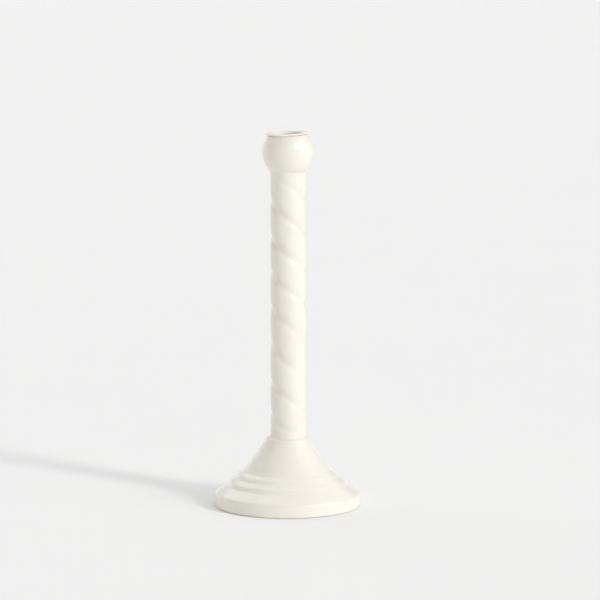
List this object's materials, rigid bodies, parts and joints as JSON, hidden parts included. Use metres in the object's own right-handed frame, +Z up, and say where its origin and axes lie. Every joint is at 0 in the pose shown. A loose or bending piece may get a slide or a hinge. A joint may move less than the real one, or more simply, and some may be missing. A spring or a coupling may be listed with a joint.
{
  "type": "candlestick",
  "caption": "Tall painted wooden candlestick with a stepped bell base, a left-handed rope twist stem and a ball-shaped cup with a lift-out metal candle insert.",
  "frame": {"origin": "centre of the underside, on the surface that the candlestick stands on", "axes": "+Z up along the stem's axis, towards the candle; -Y towards the front; +X to the right seen from the front"},
  "size_m": [0.1184, 0.1184, 0.301],
  "materials": {
    "painted_base": "glossy cream-white paint over turned wood",
    "painted_stem": "glossy cream-white paint over carved wood",
    "painted_cup": "glossy cream-white paint over turned wood",
    "insert_enamel": "thin pressed metal, cream lacquer, stained by wax inside",
    "screw_steel": "zinc plated",
    "washer_steel": "zinc plated",
    "felt": "matt wool felt"
  },
  "bodies": {
    "candlestick": {"turned_base": "painted_base", "twisted_stem": "painted_stem", "ball_cup": "painted_cup", "base_screw": "screw_steel", "base_washer": "washer_steel", "cup_screw": "screw_steel", "felt_pad": "felt"},
    "insert": {"cup_insert": "insert_enamel"}
  },
  "joints": [
    {"name": "insert_lift", "type": "slide", "parent": "candlestick", "child": "insert", "axis": [0, 0, 1], "range_m": [0, 0.035]}
  ]
}
